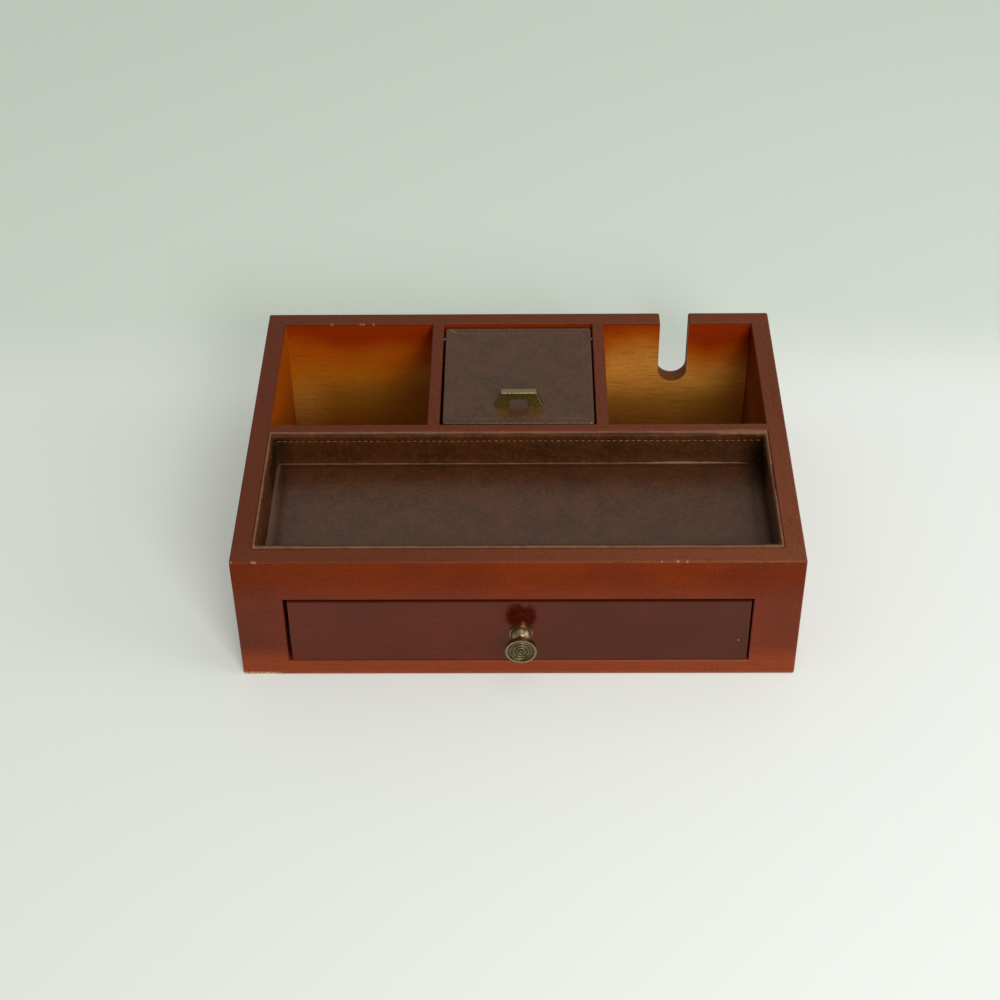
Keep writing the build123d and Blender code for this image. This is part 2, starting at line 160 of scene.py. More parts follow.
class Finish:
    """A material with one Principled shader, built by expressions."""

    def __init__(self, name, **constants):
        self.material = bpy.data.materials.new(name)
        self.material.use_nodes = True
        self.nodes = self.material.node_tree.nodes
        self.links = self.material.node_tree.links
        self.shader = self.nodes["Principled BSDF"]
        for socket, value in constants.items():
            self.shader.inputs[socket.replace("_", " ")].default_value = value

    def node(self, kind, settings=None, inputs=None, out=0):
        """A node with its settings and then its sockets set; returns one of its outputs."""
        made = self.nodes.new(kind)
        for name, value in (settings or {}).items():
            setattr(made, name, value)
        for name, value in (inputs or {}).items():
            self.fill(self.find(made.inputs, name), value)
        return Wire(self, self.find(made.outputs, out))

    @staticmethod
    def find(sockets, name):
        """A socket by its number, its identifier or its name."""
        if isinstance(name, int):
            return sockets[name]
        return next(s for s in sockets if name in (s.identifier, s.name))

    def fill(self, socket, value):
        if isinstance(value, Wire):
            self.links.new(value.socket, socket)
        elif isinstance(value, tuple) and socket.type == "RGBA":
            socket.default_value = (*value, 1.0)
        else:
            socket.default_value = value

    def place(self):
        """The point being shaded, in metres in the frame of the box, as X, Y and Z wires."""
        point = self.node("ShaderNodeTexCoord", out="Object")
        return [self.node("ShaderNodeSeparateXYZ", {}, {0: point}, out) for out in range(3)]

    def noise(self, size, stretch=(1, 1, 1), detail=3.0, roughness=0.5, offset=(0, 0, 0)):
        """Noise from 0 to 1 whose blotches are about size metres, longer along a stretch."""
        point = self.node("ShaderNodeTexCoord", out="Object")
        scale = tuple(1 / (size * s) for s in stretch)
        inputs = {"Vector": point, "Scale": scale, "Location": offset}
        mapped = self.node("ShaderNodeMapping", {}, inputs)
        inputs = {"Vector": mapped, "Scale": 1.0, "Detail": detail, "Roughness": roughness}
        return self.node("ShaderNodeTexNoise", {}, inputs, "Fac")

    def mix(self, factor, first, second):
        """Colour first where factor is 0 and second where it is 1."""
        inputs = {"Factor_Float": factor, "A_Color": first, "B_Color": second}
        return self.node("ShaderNodeMix", {"data_type": "RGBA"}, inputs, "Result_Color")

    def layers(self, tone, *layers):
        """A colour with others laid over it in turn, each a pair of mask and colour."""
        for mask, colour in layers:
            tone = self.mix(mask, tone, colour)
        return tone

    def bump(self, height, depth, strength):
        """Normal from a height of 0 to 1 that stands for depth metres."""
        inputs = {"Height": height, "Distance": depth, "Strength": strength}
        return self.node("ShaderNodeBump", {}, inputs, "Normal")

    def feed(self, **wires):
        """Link wires to the shader's sockets."""
        for socket, wire in wires.items():
            self.fill(self.shader.inputs[socket.replace("_", " ")], wire)
        return self.material


def between(wire, low, high, soft):
    """1 from low to high, falling to 0 over soft on each side."""
    return wire.step(low - soft, low) * wire.step(high + soft, high)


def dress(material, *nodes):
    """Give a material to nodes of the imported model."""
    for name in nodes:
        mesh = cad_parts[name].data
        mesh.materials.clear()
        mesh.materials.append(material)


print("helpers ready")

# %% [markdown]
# ## Stained wood
#
# The case is a close-grained wood under a red-brown stain. The stain lies evenly, so the grain only
# shows as fine streaks along each board, and the colour drifts slowly from orange to brown. Noise
# stretched along the board gives both. Inside the compartments the stain was only brushed on near
# the top, so it fades to bare ochre wood lower down: masks made from the height and the place do
# that, on the same boards, with no extra geometry. Light and shade are painted there as well: the
# case's left side is painted lit orange inside and its right side shaded brown, and the bare wood is
# painted paler where light falls and darker at the foot, where the cross divider's shadow falls. The
# tops are greyed by a painted sheen, painted paler toward the front right where light from the right
# falls, and carry painted highlights along their front and back edges. The foot of the case is
# painted brighter, as light thrown up from the pale table falls there. A few knocks on the edges
# show pale wood.

# %% Stained wood
STAIN_ORANGE = (0.19, 0.024, 0.0012)
STAIN_RED = (0.1, 0.014, 0.0045)
# Painted light: the foot of the case as lit by light thrown up from the pale table.
FOOT_BOUNCE_LIGHT = (0.26, 0.04, 0.005)
# Painted sheen: the tops' stain is greyed to stand for the sheen they show.
TOP_STAIN_WITH_SHEEN = (0.125, 0.024, 0.007)
# Painted light: the tops are paler where light from the right falls.
TOP_SUNLIT_PALE = (0.25, 0.07, 0.024)
NOTCH_BROWN = (0.2, 0.072, 0.02)
STREAK = (0.06, 0.008, 0.002)
FLECK = (0.42, 0.11, 0.022)
BARE_OCHRE = (0.48, 0.14, 0.004)
# Pale bare wood, also used as painted light where light falls in the left compartment.
BARE_PALE_AND_LIT = (0.64, 0.27, 0.04)
# Darker bare wood for the grain, and painted shadow at the foot of the compartments.
BARE_GRAIN_AND_SHADE = (0.3, 0.132, 0.016)
INSIDE_RED = (0.29, 0.024, 0.0005)
INSIDE_ORANGE = (0.43, 0.085, 0.001)
# Painted light and shade: the case's left side lit orange inside, its right side shaded brown.
LIT_WALL_ORANGE = (0.44, 0.085, 0.002)
SHADED_WALL_BROWN = (0.13, 0.018, 0.002)
CHIP = (0.58, 0.36, 0.23)
FRONT_KNOCKS = ((-152.4, -150.8), (-140.6, -137.8), (75.6, 76.2), (83.6, 85.2), (88.9, 89.8))
BACK_KNOCKS = ((-114.0, -112.6), (-96.6, -93.6), (-88.5, -87.7))
BOARDS_ACROSS = ("case_front", "case_back", "cross_divider", "lid_rest_strip")
BOARDS_DEEP = ("case_left_side", "case_right_side", "left_divider", "right_divider")


def grain(finish, along):
    """Streaks along one axis: broad bands, fine pores and slow blotches."""
    long_band = tuple(14 if axis == along else 1 for axis in "XYZ")
    long_pore = tuple(5 if axis == along else 1 for axis in "XYZ")
    bands = finish.noise(1.3 * MM, long_band, detail=5.0, roughness=0.70)
    pores = finish.noise(0.60 * MM, long_pore, roughness=0.65)
    blotches = finish.noise(55 * MM)
    return bands, pores, blotches


def inside_store(x, y, z):
    """1 on the walls of the compartments and 0 on the outside and the tops."""
    skin = 0.15 * MM
    depth = between(y, store_front - skin, store_back + skin, 0.02 * MM)
    width = between(x, inner_left - skin, inner_right + skin, 0.02 * MM)
    return depth * width * z.step(case_high.z - 0.9 * MM, case_high.z - 1.5 * MM)


def knocks_at(x, places):
    """1 at each of some stretches of x, which are given in millimetres."""
    return sum(between(x, low * MM, high * MM, 0.3 * MM) for low, high in places)


def chipped_edges(finish, x, y, z):
    """Pale knocks on the upper edges, and the rubbed lower left corner of the front."""
    front = y.step(case_low.y + 1.8 * MM, case_low.y + 0.5 * MM)
    top = z.step(case_high.z - 1.2 * MM, case_high.z - 0.5 * MM)
    foot = z.step(2.8 * MM, 1.2 * MM)
    left = x.step(case_low.x + 24 * MM, case_low.x + 14 * MM)
    ragged = finish.noise(1.4 * MM, detail=4.0, roughness=0.7)
    brightened = ragged.step(0.40, 0.52)
    back_rim = between(y, store_back - 0.4 * MM, store_back + 0.6 * MM, 0.3 * MM)
    knocked = front * knocks_at(x, FRONT_KNOCKS) + back_rim * knocks_at(x, BACK_KNOCKS)
    return (top * knocked * 0.38 + front * foot * (left + (1 - left) * 0.12)) * brightened


def inside_tone(finish, x, z, blotches, bands):
    """Colour of the compartments' walls: red at the rim, then orange, then bare wood, with painted
    light and shade laid on it.
    """
    left, right = x.step(-44 * MM, -50 * MM), x.step(40 * MM, 60 * MM)
    far_left = x.step(-108 * MM, -136 * MM)
    drift = (blotches - 0.5) * 26 * MM + x.step(-40 * MM, -60 * MM) * 2.5 * MM
    thin_stain = right * x.step(116 * MM, 80 * MM) * 10 + x.step(-98 * MM, -130 * MM) * 4 - 2
    level = z + drift - thin_stain * MM
    # Painted light: paler at the left compartment's right end and low at its left end, where light
    # falls.
    paler = left * x.step(-74 * MM, -58 * MM) * 0.7 + far_left * z.step(50 * MM, 22 * MM) * 0.9
    # Painted shadow: the foot of the compartments is darker where the cross divider's shadow falls.
    foot = (z - left * 9 * MM).step(40 * MM, 22 * MM) * (1 - far_left)
    bare = finish.layers(finish.mix(right + paler, BARE_OCHRE, BARE_PALE_AND_LIT),
                         (bands.step(0.40, 0.75) * 0.35, BARE_GRAIN_AND_SHADE), (foot * 0.60, BARE_GRAIN_AND_SHADE))
    redder = (level + right * 5 * MM).step(64 * MM, 80 * MM)
    # Painted light on the left side's inner face and painted shade on the right side's.
    left_wall = x.step(inner_left + 0.6 * MM, inner_left + 0.2 * MM)
    right_wall = x.step(inner_right - 0.6 * MM, inner_right - 0.2 * MM)
    return finish.layers(finish.mix(level.step(66 * MM, 42 * MM), INSIDE_ORANGE, bare),
                         (redder, INSIDE_RED), (left_wall * 0.8, LIT_WALL_ORANGE),
                         (right_wall * 0.8, SHADED_WALL_BROWN))


def stained_wood(name, along):
    """Stained wood whose grain runs along one axis."""
    finish = Finish(name, Specular_IOR_Level=0.04, Coat_Roughness=0.34, Coat_IOR=1.45)
    x, y, z = finish.place()
    bands, pores, blotches = grain(finish, along)
    middle = x.step(case_low.x - 20 * MM, 30 * MM) * x.step(case_high.x + 40 * MM, 60 * MM)
    # Painted light: brighter toward the bottom of the case, where light from the table falls.
    foot = z.step(24 * MM, 8 * MM)
    on_top = z.step(case_high.z - 1.4 * MM, case_high.z - 0.4 * MM)
    flat_top = z.step(case_high.z - 0.45 * MM, case_high.z - 0.1 * MM)
    cut = between(y, store_back + 0.4 * MM, case_high.y - 0.4 * MM, 0.1 * MM) * (1 - on_top)
    cut = cut * between(x, inner_left, inner_right, 1 * MM)
    # Painted light: paler toward the right and the front, where light from the right falls, with
    # painted highlights along the tops' front and back edges.
    sunny = x.step(-90 * MM, 150 * MM) * (0.22 + y.step(30 * MM, -70 * MM) * 0.36)
    sunny = sunny + y.step(-96 * MM, -104 * MM) * 0.12 + y.step(96 * MM, 104 * MM) * 0.08
    flecks = finish.noise(0.75 * MM, roughness=0.7, offset=(4, 9, 2))
    tone = finish.layers(
        finish.mix(blotches.step(0.30, 0.66) * 0.5 + middle * 0.42, STAIN_RED, STAIN_ORANGE),
        (foot * 0.8, FOOT_BOUNCE_LIGHT), (on_top * 0.85, finish.mix(sunny, TOP_STAIN_WITH_SHEEN, TOP_SUNLIT_PALE)),
        (cut * 0.85, NOTCH_BROWN),
        (inside_store(x, y, z), inside_tone(finish, x, z, blotches, bands)),
        (bands.step(0.46, 0.76) * (0.30 + on_top * 0.15), STREAK),
        (pores.step(0.53, 0.70) * (0.34 + on_top * 0.16), STREAK),
        (flecks.step(0.50, 0.78) * (0.30 + on_top * 0.12), FLECK),
        (chipped_edges(finish, x, y, z), CHIP))
    height = bands * 0.6 + pores * 0.4
    low_front = z.step(74 * MM, 52 * MM) * y.step(store_front, case_low.y)
    return finish.feed(Base_Color=tone, Roughness=0.42 + bands * 0.16,
                       Coat_Weight=0.02 + flat_top * 0.42 + low_front * 0.36,
                       Normal=finish.bump(height, 0.10 * MM, 0.4))


dress(stained_wood("stained_wood_across", "X"), *BOARDS_ACROSS)
dress(stained_wood("stained_wood_deep", "Y"), *BOARDS_DEEP)
print("stained wood on", len(BOARDS_ACROSS + BOARDS_DEEP), "boards")

# %% [markdown]
# ## Drawer front
#
# The drawer front has had more stain and a coat of gloss lacquer. It shows the white table as a
# pale veil, and the knob as a dark red patch where the knob hides the table. No colour paints that:
# a very dark red base does it by itself, once its reflection is tinted warm, as light that has
# passed through coloured lacquer is.

# %% Drawer front
LACQUER_RED = (0.066, 0.0045, 0.0014)
LACQUER_DARK = (0.016, 0.002, 0.001)
LACQUER_FLECK = (0.15, 0.018, 0.008)
CHIP_LEFT, CHIP_RIGHT = 119.6 * MM, 120.6 * MM
CHIP_LOW, CHIP_HIGH = 25.7 * MM, 26.4 * MM


def lacquered_front():
    """Dark red wood under gloss lacquer, browner to the right, with one small chip."""
    finish = Finish("lacquered_front", Specular_IOR_Level=1.0,
                    Specular_Tint=(1.0, 0.35, 0.20, 1.0))
    x, y, z = finish.place()
    bands, pores, blotches = grain(finish, "X")
    browner = x.step(-60 * MM, 120 * MM) * 0.5 + blotches.step(0.35, 0.68) * 0.5
    flecks = finish.noise(0.8 * MM, (2.5, 1, 1), roughness=0.7)
    chip = between(x, CHIP_LEFT, CHIP_RIGHT, 0.2 * MM) * between(z, CHIP_LOW, CHIP_HIGH, 0.2 * MM)
    tone = finish.layers(finish.mix(browner, LACQUER_RED, LACQUER_DARK),
                         (bands.step(0.40, 0.72) * 0.7, LACQUER_DARK),
                         (flecks.step(0.52, 0.78) * 0.5, LACQUER_FLECK), (chip * 0.35, CHIP))
    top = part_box("drawer_front")[1].z
    arris = z.step(top - 0.7 * MM, top - 0.3 * MM)
    return finish.feed(Base_Color=tone, Roughness=0.10 + pores * 0.08 + bands * 0.10 + arris * 0.6,
                       Normal=finish.bump(bands, 0.04 * MM, 0.2))


dress(lacquered_front(), "drawer_front")
print("lacquer on the drawer front")

# %% [markdown]
# ## Plain wood
#
# What is out of sight when the box is shut is bare: the drawer's box, its runners, the shelf and
# the base.

# %% Plain wood
PLAIN_PALE = (0.52, 0.34, 0.17)
PLAIN_DARK = (0.36, 0.21, 0.09)


def plain_wood(name, along):
    """Bare wood with a straight grain."""
    finish = Finish(name, Specular_IOR_Level=0.3)
    bands, pores, blotches = grain(finish, along)
    tone = finish.layers(PLAIN_PALE, (blotches.step(0.3, 0.7), PLAIN_DARK),
                         (bands.step(0.5, 0.7) * 0.6, PLAIN_DARK))
    return finish.feed(Base_Color=tone, Roughness=0.6 + pores * 0.2,
                       Normal=finish.bump(bands, 0.15 * MM, 0.5))


plain_across = plain_wood("plain_wood_across", "X")
plain_deep = plain_wood("plain_wood_deep", "Y")
dress(plain_across, "base_panel", "tray_shelf", "tray_floor_board", "tray_front_wall",
      "tray_back_wall", "drawer_back", "drawer_bottom", "drawer_stops", "lid_board")
dress(plain_deep, "tray_left_wall", "tray_right_wall", "drawer_left_side", "drawer_right_side",
      "drawer_guide_left", "drawer_guide_right", "drawer_runner_left", "drawer_runner_right",
      "shelf_cleat_left", "shelf_cleat_right")
print("plain wood inside")

# %% [markdown]
# ## Metal
#
# The handle and the knob are aged brass: olive brown in the hollows, brighter where fingers rub. A
# function of each one's form says where that is: the handle's top and sloping edges, and the rings
# on the knob's face. On the handle's sloping edges a painted highlight is laid over that as well.
# The pins and screws are plain steel.

# %% Metal
BRASS_RUBBED = (0.42, 0.325, 0.175)
HANDLE_AGED = (0.19, 0.165, 0.016)
KNOB_AGED = (0.072, 0.058, 0.027)
STEEL_DARK = (0.14, 0.14, 0.135)
STEEL_PALE = (0.26, 0.255, 0.25)
HANDLE_HALF_TOP = 10.0 * MM
HANDLE_LEAN = 0.42
RING_PITCH = 1.85 * MM
RING_FIRST = 2.30 * MM
RING_LAST = 7.0 * MM


def aged_brass(name, aged, bright_marks):
    """Antique brass; the last argument is a function of the finish that gives where it is bright:
    polished by fingers, and on the handle's arrises a painted highlight as well.
    """
    finish = Finish(name, Metallic=1.0)
    mottle = finish.noise(2.2 * MM)
    pits = finish.noise(0.35 * MM, detail=2.0)
    brightened = bright_marks(finish) * 0.8 + mottle.step(0.35, 0.7) * 0.2
    tone = finish.mix(brightened, aged, BRASS_RUBBED)
    return finish.feed(Base_Color=tone, Roughness=0.40 - brightened * 0.12,
                       Normal=finish.bump(pits, 0.02 * MM, 0.3))


def handle_wear_and_highlight(finish):
    """The handle's top and the sloping arrises of its front are polished bright, the arrises with a
    painted highlight too; its legs are not.
    """
    x, y, z = finish.place()
    low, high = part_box("lid_handle")
    slope = HANDLE_LEAN * (high.z - z) + HANDLE_HALF_TOP
    off_edge = (x - (low.x + high.x) / 2).maths("ABSOLUTE") - slope
    # The arrises: polished brass with a painted highlight.
    arris = off_edge.step(-0.75 * MM, -0.3 * MM) * y.step(low.y + 0.6 * MM, low.y + 0.2 * MM)
    return z.step(high.z - 1.2 * MM, high.z - 0.3 * MM) * 0.9 + arris * 0.8 + 0.1


def knob_wear(finish):
    """The knob's ball and the crests of its rings are rubbed, the grooves between are dark."""
    x, y, z = finish.place()
    low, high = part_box("drawer_knob")
    out_x = x - (low.x + high.x) / 2
    out_z = z - (low.z + high.z) / 2
    radius = (out_x * out_x + out_z * out_z).maths("POWER", 0.5)
    crest = ((radius - RING_FIRST) * (math.tau / RING_PITCH)).maths("COSINE") * 0.5 + 0.5
    rim = radius.step(RING_LAST, RING_LAST + 0.5 * MM)
    on_face = y.step(low.y + 2.0 * MM, low.y + 1.4 * MM)
    ringed = crest.step(0.25, 0.95) * (1 - rim) * 0.30 + rim * 0.70
    return on_face * ringed + (1 - on_face) * 0.7


def plain_steel():
    """Drawn steel."""
    finish = Finish("plain_steel", Metallic=1.0)
    lines = finish.noise(0.2 * MM, (20, 1, 1), detail=2.0)
    return finish.feed(Base_Color=finish.mix(lines, STEEL_DARK, STEEL_PALE),
                       Roughness=0.25 + lines * 0.15)


dress(aged_brass("handle_brass", HANDLE_AGED, handle_wear_and_highlight), "lid_handle")
dress(aged_brass("knob_brass", KNOB_AGED, knob_wear), "drawer_knob")
dress(plain_steel(), "handle_screws", "knob_screw", "lid_pin_left", "lid_pin_right")
print("metal on the handle, the knob, the pins and the screws")

# %% [markdown]
# ## Leather
#
# The leather is dark brown and mottled, with a fine pebbled grain and a soft sheen. Cells from a
# Voronoi texture make the pebbles, and noise of four sizes the clouds, patches, veins and specks.
# Each leather piece passes in two functions of the place: one says where it is pale, worn on the
# tray's rim and the lid's fold and a painted highlight on the pad's cove and ridge; the other says
# where shade is painted dark.

# %% Leather
HIDE_DARK = (0.046, 0.013, 0.003)
HIDE_BROWN = (0.08, 0.022, 0.005)
HIDE_WARM = (0.12, 0.036, 0.009)
HIDE_RED = (0.125, 0.029, 0.009)
# Pale leather for the used rim and the lid's fold, and the colour of the painted highlights on the
# pad.
HIDE_EDGE = (0.255, 0.122, 0.068)
HIDE_SPECK = (0.3, 0.17, 0.1)
# Painted shade, for the tray's corners, its walls and pad, and the lid's front edge.
HIDE_SHADE = (0.013, 0.0052, 0.0012)


def near(x, y, place, reach):
    """1 at a place, fading to 0 at a reach."""
    off_x = x - place[0]
    off_y = y - place[1]
    return (off_x * off_x + off_y * off_y).maths("POWER", 0.5).step(reach, reach * 0.3)


def along_line(x, y, start, end, width):
    """1 on the line between two points, fading to 0 at a width to each side."""
    run = (end - start).normalized()
    off_x = x - start.x
    off_y = y - start.y
    side = (off_x * run.y - off_y * run.x).maths("ABSOLUTE")
    along = off_x * run.x + off_y * run.y
    return side.step(width, width * 0.3) * between(along, 0, (end - start).length, width)


def hide(name, sheen, pale_marks, painted_shade):
    """Mottled dark brown leather. Two functions of the place are passed in: the first gives where it
    is pale, from use and from painted highlights, the second where shade is painted dark."""
    finish = Finish(name, Specular_IOR_Level=sheen, Specular_Tint=(1.0, 0.92, 0.80, 1.0))
    clouds = finish.noise(17 * MM, detail=5.0, roughness=0.62)
    patches = finish.noise(7 * MM, detail=4.0, roughness=0.6, offset=(8, 3, 2))
    veins = finish.noise(2.6 * MM, detail=5.0, roughness=0.75, offset=(3, 1, 7))
    specks = finish.noise(1.5 * MM, detail=4.0, roughness=0.8, offset=(5, 2, 1))
    point = finish.node("ShaderNodeTexCoord", out="Object")
    cells = finish.node("ShaderNodeTexVoronoi", {"feature": "SMOOTH_F1"},
                        {"Vector": point, "Scale": 1 / (0.8 * MM), "Smoothness": 0.4}, "Distance")
    place = finish.place()
    brightened = pale_marks(*place) * (veins * 0.7 + patches * 0.8 + 0.1)
    tone = finish.layers(
        HIDE_DARK, (clouds.step(0.34, 0.64), HIDE_BROWN),
        (patches.step(0.50, 0.66) * 0.45, HIDE_RED), (veins.step(0.44, 0.66) * 0.65, HIDE_WARM),
        (specks.step(0.48, 0.66) * 0.65, HIDE_DARK), (specks.step(0.40, 0.27) * 0.42, HIDE_SPECK),
        (cells.step(0.45, 0.9) * 0.35, HIDE_DARK), (painted_shade(*place), HIDE_SHADE),
        (brightened, HIDE_EDGE))
    height = (1 - cells) * 0.6 + specks * 0.4
    rough = 0.22 + clouds * 0.14 + specks * 0.08 + brightened * 1.2
    return finish.feed(Base_Color=tone, Roughness=rough, Normal=finish.bump(height, 0.12 * MM, 0.8))


def tray_corners(x, y):
    """1 in the two far corners of the tray, where shade is painted."""
    return x.maths("ABSOLUTE").step(124 * MM, 139 * MM) * between(y, -26 * MM, -4 * MM, 14 * MM)


print("leather ready")

# %% [markdown]
# ## Padded and wrapped panels
#
# The tray's padded floor, the lid's cover and the linings are rectangular panels with soft edges.
# One builder makes them: a grid carries the face, and rings of points run round its border, each
# with its own inset, height and corner round. They roll over the edge and come back underneath,
# where a second grid closes the shell, so the piece is a real solid with its faces outwards. A
# height function shapes the face with grooves, folds and slow waves.

# %% Panel builder


def border_walk(columns, rows):
    """Grid places round the border, anticlockwise seen from above."""
    south = [(i, 0) for i in range(columns)]
    east = [(columns, j) for j in range(rows)]
    north = [(columns - i, rows) for i in range(columns)]
    west = [(0, rows - j) for j in range(rows)]
    return south + east + north + west


def rounded(point, low, high, corner):
    """A point on a rectangle moved onto the same rectangle with round corners."""
    x = min(max(point.x, low.x + corner), high.x - corner)
    y = min(max(point.y, low.y + corner), high.y - corner)
    reach = Vector((point.x - x, point.y - y))
    if corner and abs(reach.x) > 1e-9 and abs(reach.y) > 1e-9:
        reach = reach.normalized() * corner
    return Vector((x, y)) + reach


def piece_from(name, points, faces, material):
    """Mesh object at the origin, smooth shaded, with its normals recalculated."""
    mesh = bpy.data.meshes.new(name)
    mesh.from_pydata(points, [], faces)
    shell = bmesh.new()
    shell.from_mesh(mesh)
    bmesh.ops.recalc_face_normals(shell, faces=shell.faces)
    shell.to_mesh(mesh)
    shell.free()
    mesh.shade_smooth()
    mesh.materials.append(material)
    return add_object(name, mesh)


def soft_panel(name, low, high, rings, spacing, face_height, back_z, material, widen=1.0):
    """Closed panel between two corners. rings are (inset, z, corner) from the face outwards, and
    widen enlarges the insets at its left and right ends."""
    columns = round((high.x - low.x) / spacing)
    rows = round((high.y - low.y) / spacing)
    inset = rings[0][0]
    points = []

    def grid_point(i, j, edge):
        x = low.x + edge * widen + (high.x - low.x - 2 * edge * widen) * i / columns
        y = low.y + edge + (high.y - low.y - 2 * edge) * j / rows
        return Vector((x, y))

    def add_grid(height):
        start = len(points)
        for j in range(rows + 1):
            for i in range(columns + 1):
                flat = grid_point(i, j, inset)
                points.append((flat.x, flat.y, height(flat)))
        return start

    face = add_grid(face_height)
    back = add_grid(lambda flat: back_z)
    wide = columns + 1
    corners = [j * wide + i for j in range(rows) for i in range(columns)]
    faces = [(k, k + 1, k + wide + 1, k + wide) for k in (face + c for c in corners)]
    faces += [(k, k + wide, k + wide + 1, k + 1) for k in (back + c for c in corners)]
    walk = border_walk(columns, rows)
    loops = [[face + j * wide + i for i, j in walk]]
    for edge, z, corner in rings[1:]:
        loops.append(range(len(points), len(points) + len(walk)))
        reach = Vector((edge * widen, edge))
        for i, j in walk:
            flat = rounded(grid_point(i, j, edge), low + reach, high - reach, corner)
            points.append((flat.x, flat.y, z(flat) if callable(z) else z))
    loops.append([back + j * wide + i for i, j in walk])
    for inner, outer in zip(loops, loops[1:]):
        for k, start in enumerate(inner):
            after = (k + 1) % len(walk)
            faces.append((start, outer[k], outer[after], inner[after]))
    return piece_from(name, points, faces, material)


def wave(point, size, seed):
    """Smooth noise from -1 to 1 with waves about size metres long."""
    return noise.noise(Vector((point.x / size, point.y / size, seed)))


def dip(distance, width):
    """1 at zero distance, fading to 0 over a width."""
    return math.exp(-((distance / width) ** 2))


print("panel builder ready")

# %% [markdown]
# ## The tray's padded floor
#
# A thin pad lies in the tray. Its leather is pulled over foam, so the middle stands a little proud,
# and along the walls the leather turns up in a small cove. That cove is what catches the light as a
# pale line behind the floor in the photograph, so it is shape, and a painted highlight along it and
# along the left ridge adds to that line. Shade is painted in the far corners, beside the ridge, along
# the back and at the right end. It is puckered at the back right, makes a low ridge at the left, and
# sags away at the right end.

# %% Tray floor pad
pad_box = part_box("tray_pad")
PAD_EDGE_Z = pad_box[0].z + 0.9 * MM
PAD_CROWN = 1.2 * MM
PAD_WAVE = 0.22 * MM
PAD_GRID = 1.5 * MM
PAD_SHEEN = 0.82
COVE_WIDEN = 2.6
PUCKER_PLACE = 94 * MM
PUCKER_REACH = 19 * MM
PUCKER_RISE = 1.6
SAG_START = pad_box[1].x - 12 * MM
SAG_LENGTH = 8 * MM
SAG_DEPTH = 1.3
# Each ring of the cove: inset, rise, height of the left ridge and corner round, in millimetres.
PAD_SECTION = (
    (2.4, 0, -0.06, 0.6), (1.8, 0, -0.16, 0.9), (1.4, 0, -0.12, 1.2), (1.1, 0, 0.1, 1.4),
    (0.8, 0.05, 0.5, 1.5), (0.55, 0.13, 0.85, 1.6), (0.3, 0.26, 0.95, 1.7),
    (0.12, 0.4, 0.75, 1.8), (0.02, 0.44, 0.4, 1.8))


def pad_height(flat):
    """Height of the padded floor: a low crown with slow waves."""
    middle = (pad_box[0] + pad_box[1]) / 2
    across = (flat.x - middle.x) / (pad_box[1].x - middle.x)
    deep = (flat.y - middle.y) / (pad_box[1].y - middle.y)
    crown = (1 - across ** 4) * (1 - deep ** 6)
    return PAD_EDGE_Z + PAD_CROWN * crown + PAD_WAVE * wave(flat, 38 * MM, 2.0) * crown


def cove(inset, rise, ridge):
    """Function that gives the height of one ring of the cove at a place on it."""
    def height(flat):
        at_back = flat.y > pad_box[1].y - 4 * MM
        taller = PUCKER_RISE * dip(flat.x - PUCKER_PLACE, PUCKER_REACH) if at_back else 0.0
        taller *= 1 + 0.6 * wave(flat, 3 * MM, 3.0)
        at_left = flat.x < pad_box[0].x + (inset * COVE_WIDEN + 0.3) * MM
        sag = min(1.0, max(0.0, (flat.x - SAG_START) / SAG_LENGTH))
        lift = rise * (1 + taller + 0.5 * wave(flat, 9 * MM, 8.0)) * (1 - SAG_DEPTH * sag)
        return PAD_EDGE_Z + (lift + (ridge if at_left else 0.0)) * MM
    return height


def pad_highlights_and_pale_front(x, y, z):
    """Where the pad's leather is pale: painted highlights on its cove and its left ridge, and paler
    toward the front.
    """
    left, front, back = pad_box[0].x, pad_box[0].y, pad_box[1].y
    back_cove = y.step(back - 1.1 * MM, back - 0.5 * MM) * 0.20
    ridge = x.step(left + 2.8 * MM, left + 1.8 * MM) * 0.16
    return back_cove + ridge + y.step(front + 46 * MM, front + 6 * MM) * 0.14


def pad_shade(x, y, z):
    """Where shade is painted on the pad: in the far corners, by the ridge, along the back and at the
    right.
    """
    left, right, back = pad_box[0].x, pad_box[1].x, pad_box[1].y
    hollow = between(x, left + 3.4 * MM, left + 5.4 * MM, 1.2 * MM) * 0.28
    end = x.step(right - 9.5 * MM, right - 3.5 * MM) * 0.35
    fold = between(y, back - 3.4 * MM, back - 1.5 * MM, 0.9 * MM) * 0.25
    return tray_corners(x, y) * 0.4 + hollow + end + fold


pad_rings = [(3.2 * MM, 0, 0)]
pad_rings += [(inset * MM, cove(inset, rise, ridge), corner * MM)
              for inset, rise, ridge, corner in PAD_SECTION]
pad_rings += [(0.0, PAD_EDGE_Z - 0.25 * MM, 1.8 * MM), (0.3 * MM, PAD_EDGE_Z - 0.8 * MM, 1.6 * MM)]
tray_cushion = soft_panel("tray_floor_cushion", pad_box[0].xy, pad_box[1].xy, pad_rings, PAD_GRID,
                          pad_height, pad_box[0].z + 0.03 * MM,
                          hide("pad_hide", PAD_SHEEN, pad_highlights_and_pale_front, pad_shade), COVE_WIDEN)
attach(tray_cushion, "case")
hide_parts("tray_pad")
print("tray floor pad", len(tray_cushion.data.polygons), "faces")

# %% [markdown]
# ## The tray's walls
#
# One band of leather is glued over the rim and down the inside of the four walls. Its section is
# the same all the way round, so it is swept along the border, one rectangle of points for each ring
# of the section. Real leather never lies quite straight: the rim and the sewn line wander, and the
# rim stands up near the back right corner and is pressed down at one place on the right.

